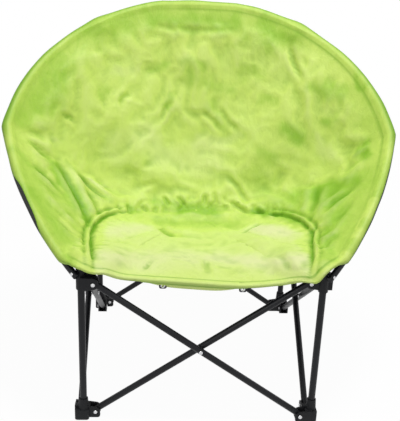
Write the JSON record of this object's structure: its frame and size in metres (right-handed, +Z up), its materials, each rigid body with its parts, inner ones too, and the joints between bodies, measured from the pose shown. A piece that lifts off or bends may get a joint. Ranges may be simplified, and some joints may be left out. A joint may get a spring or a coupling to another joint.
{
  "type": "folding camping chair",
  "caption": "Round padded folding camping chair: a bowl-shaped cloth seat on a rim of bent tubes, carried by a square scissor base that folds into a narrow bundle.",
  "frame": {"origin": "on the ground under the middle of the open chair's bounding box", "axes": "+Z up, +X to the sitter's left hand side seen from the front as right, the sitter faces -Y"},
  "size_m": [0.8982, 0.6308, 0.8246],
  "materials": {
    "padded_cloth": "soft brushed lime cloth",
    "coated_tube": "satin black powder coat",
    "moulding": "black moulded nylon",
    "webbing": "black woven tape",
    "rivet": "bright domed rivet"
  },
  "bodies": {
    "front_left_leg": {"foot_front_left": "moulding", "upright_front_left": "coated_tube", "foot_rivet_front_left_a": "rivet", "foot_rivet_front_left_b": "rivet"},
    "front_left_hub": {"hub_front_left": "moulding", "hub_rivet_front_left_a": "rivet", "hub_rivet_front_left_b": "rivet", "slide_front_left": "coated_tube", "arm_rivet_front_left": "rivet"},
    "front_right_leg": {"foot_front_right": "moulding", "upright_front_right": "coated_tube", "foot_rivet_front_right_a": "rivet", "foot_rivet_front_right_b": "rivet"},
    "front_right_hub": {"hub_front_right": "moulding", "hub_rivet_front_right_a": "rivet", "hub_rivet_front_right_b": "rivet", "slide_front_right": "coated_tube", "arm_rivet_front_right": "rivet"},
    "rear_right_leg": {"foot_rear_right": "moulding", "upright_rear_right": "coated_tube", "foot_rivet_rear_right_a": "rivet", "foot_rivet_rear_right_b": "rivet", "clamp_rivet_right": "rivet"},
    "rear_right_hub": {"hub_rear_right": "moulding", "hub_rivet_rear_right_a": "rivet", "hub_rivet_rear_right_b": "rivet"},
    "rear_left_leg": {"foot_rear_left": "moulding", "upright_rear_left": "coated_tube", "foot_rivet_rear_left_a": "rivet", "foot_rivet_rear_left_b": "rivet", "clamp_rivet_left": "rivet"},
    "rear_left_hub": {"hub_rear_left": "moulding", "hub_rivet_rear_left_a": "rivet", "hub_rivet_rear_left_b": "rivet"},
    "cross_front_outer": {"cross_front_outer": "coated_tube", "cross_rivet_front": "rivet"},
    "cross_front_inner": {"cross_front_inner": "coated_tube"},
    "cross_right_outer": {"cross_right_outer": "coated_tube", "cross_rivet_right": "rivet"},
    "cross_right_inner": {"cross_right_inner": "coated_tube"},
    "cross_rear_outer": {"cross_rear_outer": "coated_tube", "cross_rivet_rear": "rivet"},
    "cross_rear_inner": {"cross_rear_inner": "coated_tube"},
    "cross_left_outer": {"cross_left_outer": "coated_tube", "cross_rivet_left": "rivet"},
    "cross_left_inner": {"cross_left_inner": "coated_tube"},
    "lower_arm_left": {"lower_arm_left": "coated_tube", "cover_front_left": "padded_cloth", "eyelet_tab_left": "webbing"},
    "upper_arm_left": {"upper_arm_left": "coated_tube", "arm_clamp_left": "moulding", "cover_back_left": "padded_cloth"},
    "lower_arm_right": {"lower_arm_right": "coated_tube", "cover_front_right": "padded_cloth", "eyelet_tab_right": "webbing"},
    "upper_arm_right": {"upper_arm_right": "coated_tube", "arm_clamp_right": "moulding", "cover_back_right": "padded_cloth"}
  },
  "joints": [
    {"name": "fold", "type": "hinge", "parent": "front_left_leg", "child": "cross_front_inner", "pos_m": [-0.2245, -0.2831, 0.0145], "axis": [0, -1, 0], "range_deg": [0, 46.5], "deforming": ["cover_front_left", "cover_front_right", "cover_back_left", "cover_back_right", "eyelet_tab_left", "eyelet_tab_right"]},
    {"name": "front_cross", "type": "hinge", "parent": "cross_front_inner", "child": "cross_front_outer", "pos_m": [0, -0.2911, 0.17375], "axis": [0, -1, 0], "range_deg": [-93.5, 0]},
    {"name": "front_right_foot_pivot", "type": "hinge", "parent": "cross_front_outer", "child": "front_right_leg", "pos_m": [0.2245, -0.2991, 0.0145], "axis": [0, -1, 0], "range_deg": [0, 47]},
    {"name": "front_left_hub_pivot", "type": "hinge", "parent": "cross_front_outer", "child": "front_left_hub", "pos_m": [-0.2245, -0.2991, 0.333], "axis": [0, -1, 0], "range_deg": [0, 47]},
    {"name": "front_right_hub_pivot", "type": "hinge", "parent": "cross_front_inner", "child": "front_right_hub", "pos_m": [0.2245, -0.2831, 0.333], "axis": [0, -1, 0], "range_deg": [-47, 0]},
    {"name": "left_foot_pivot", "type": "hinge", "parent": "front_left_leg", "child": "cross_left_outer", "pos_m": [-0.258, -0.2656, 0.0145], "axis": [1, 0, 0], "range_deg": [0, 47]},
    {"name": "left_cross", "type": "hinge", "parent": "cross_left_outer", "child": "cross_left_inner", "pos_m": [-0.25, -0.0411, 0.17375], "axis": [1, 0, 0], "range_deg": [-93.5, 0]},
    {"name": "rear_left_foot_pivot", "type": "hinge", "parent": "cross_left_inner", "child": "rear_left_leg", "pos_m": [-0.242, 0.1834, 0.0145], "axis": [1, 0, 0], "range_deg": [0, 47]},
    {"name": "rear_left_hub_pivot", "type": "hinge", "parent": "cross_left_outer", "child": "rear_left_hub", "pos_m": [-0.258, 0.1834, 0.333], "axis": [1, 0, 0], "range_deg": [-47, 0]},
    {"name": "right_foot_pivot", "type": "hinge", "parent": "front_right_leg", "child": "cross_right_inner", "pos_m": [0.242, -0.2656, 0.0145], "axis": [1, 0, 0], "range_deg": [0, 47]},
    {"name": "right_cross", "type": "hinge", "parent": "cross_right_inner", "child": "cross_right_outer", "pos_m": [0.25, -0.0411, 0.17375], "axis": [1, 0, 0], "range_deg": [-93.5, 0]},
    {"name": "rear_right_foot_pivot", "type": "hinge", "parent": "cross_right_outer", "child": "rear_right_leg", "pos_m": [0.258, 0.1834, 0.0145], "axis": [1, 0, 0], "range_deg": [0, 47]},
    {"name": "rear_right_hub_pivot", "type": "hinge", "parent": "cross_right_inner", "child": "rear_right_hub", "pos_m": [0.242, 0.1834, 0.333], "axis": [1, 0, 0], "range_deg": [-47, 0]},
    {"name": "rear_foot_pivot", "type": "hinge", "parent": "rear_left_leg", "child": "cross_rear_outer", "pos_m": [-0.2245, 0.2169, 0.0145], "axis": [0, -1, 0], "range_deg": [0, 47]},
    {"name": "rear_cross", "type": "hinge", "parent": "cross_rear_outer", "child": "cross_rear_inner", "pos_m": [0, 0.2089, 0.17375], "axis": [0, -1, 0], "range_deg": [-93.5, 0]},
    {"name": "lower_arm_left_swing", "type": "hinge", "parent": "front_left_hub", "child": "lower_arm_left", "pos_m": [-0.26259, -0.30369, 0.355], "axis": [0.7071, 0.7071, 0], "range_deg": [0, 55.5]},
    {"name": "lower_arm_right_swing", "type": "hinge", "parent": "front_right_hub", "child": "lower_arm_right", "pos_m": [0.26259, -0.30369, 0.355], "axis": [0.7071, -0.7071, 0], "range_deg": [0, 55.5]},
    {"name": "upper_arm_left_swing", "type": "hinge", "parent": "rear_left_leg", "child": "upper_arm_left", "pos_m": [-0.25, 0.24733, 0.74322], "axis": [-0.4834, 0.8754, 0], "range_deg": [0, 102.5]},
    {"name": "upper_arm_right_swing", "type": "hinge", "parent": "rear_right_leg", "child": "upper_arm_right", "pos_m": [0.25, 0.24733, 0.74322], "axis": [-0.4834, -0.8754, 0], "range_deg": [0, 102.5]}
  ],
  "couplings": [
    {"joint": "front_cross", "follows": "fold", "ratio": -2},
    {"joint": "front_right_foot_pivot", "follows": "fold", "ratio": 1},
    {"joint": "front_left_hub_pivot", "follows": "fold", "ratio": 1},
    {"joint": "front_right_hub_pivot", "follows": "fold", "ratio": -1},
    {"joint": "left_foot_pivot", "follows": "fold", "ratio": 1},
    {"joint": "left_cross", "follows": "fold", "ratio": -2},
    {"joint": "rear_left_foot_pivot", "follows": "fold", "ratio": 1},
    {"joint": "rear_left_hub_pivot", "follows": "fold", "ratio": -1},
    {"joint": "right_foot_pivot", "follows": "fold", "ratio": 1},
    {"joint": "right_cross", "follows": "fold", "ratio": -2},
    {"joint": "rear_right_foot_pivot", "follows": "fold", "ratio": 1},
    {"joint": "rear_right_hub_pivot", "follows": "fold", "ratio": -1},
    {"joint": "rear_foot_pivot", "follows": "fold", "ratio": 1},
    {"joint": "rear_cross", "follows": "fold", "ratio": -2},
    {"joint": "lower_arm_left_swing", "follows": "fold", "ratio": 1.1828},
    {"joint": "lower_arm_right_swing", "follows": "fold", "ratio": 1.1828},
    {"joint": "upper_arm_left_swing", "follows": "fold", "ratio": 2.1935},
    {"joint": "upper_arm_right_swing", "follows": "fold", "ratio": 2.1935}
  ]
}
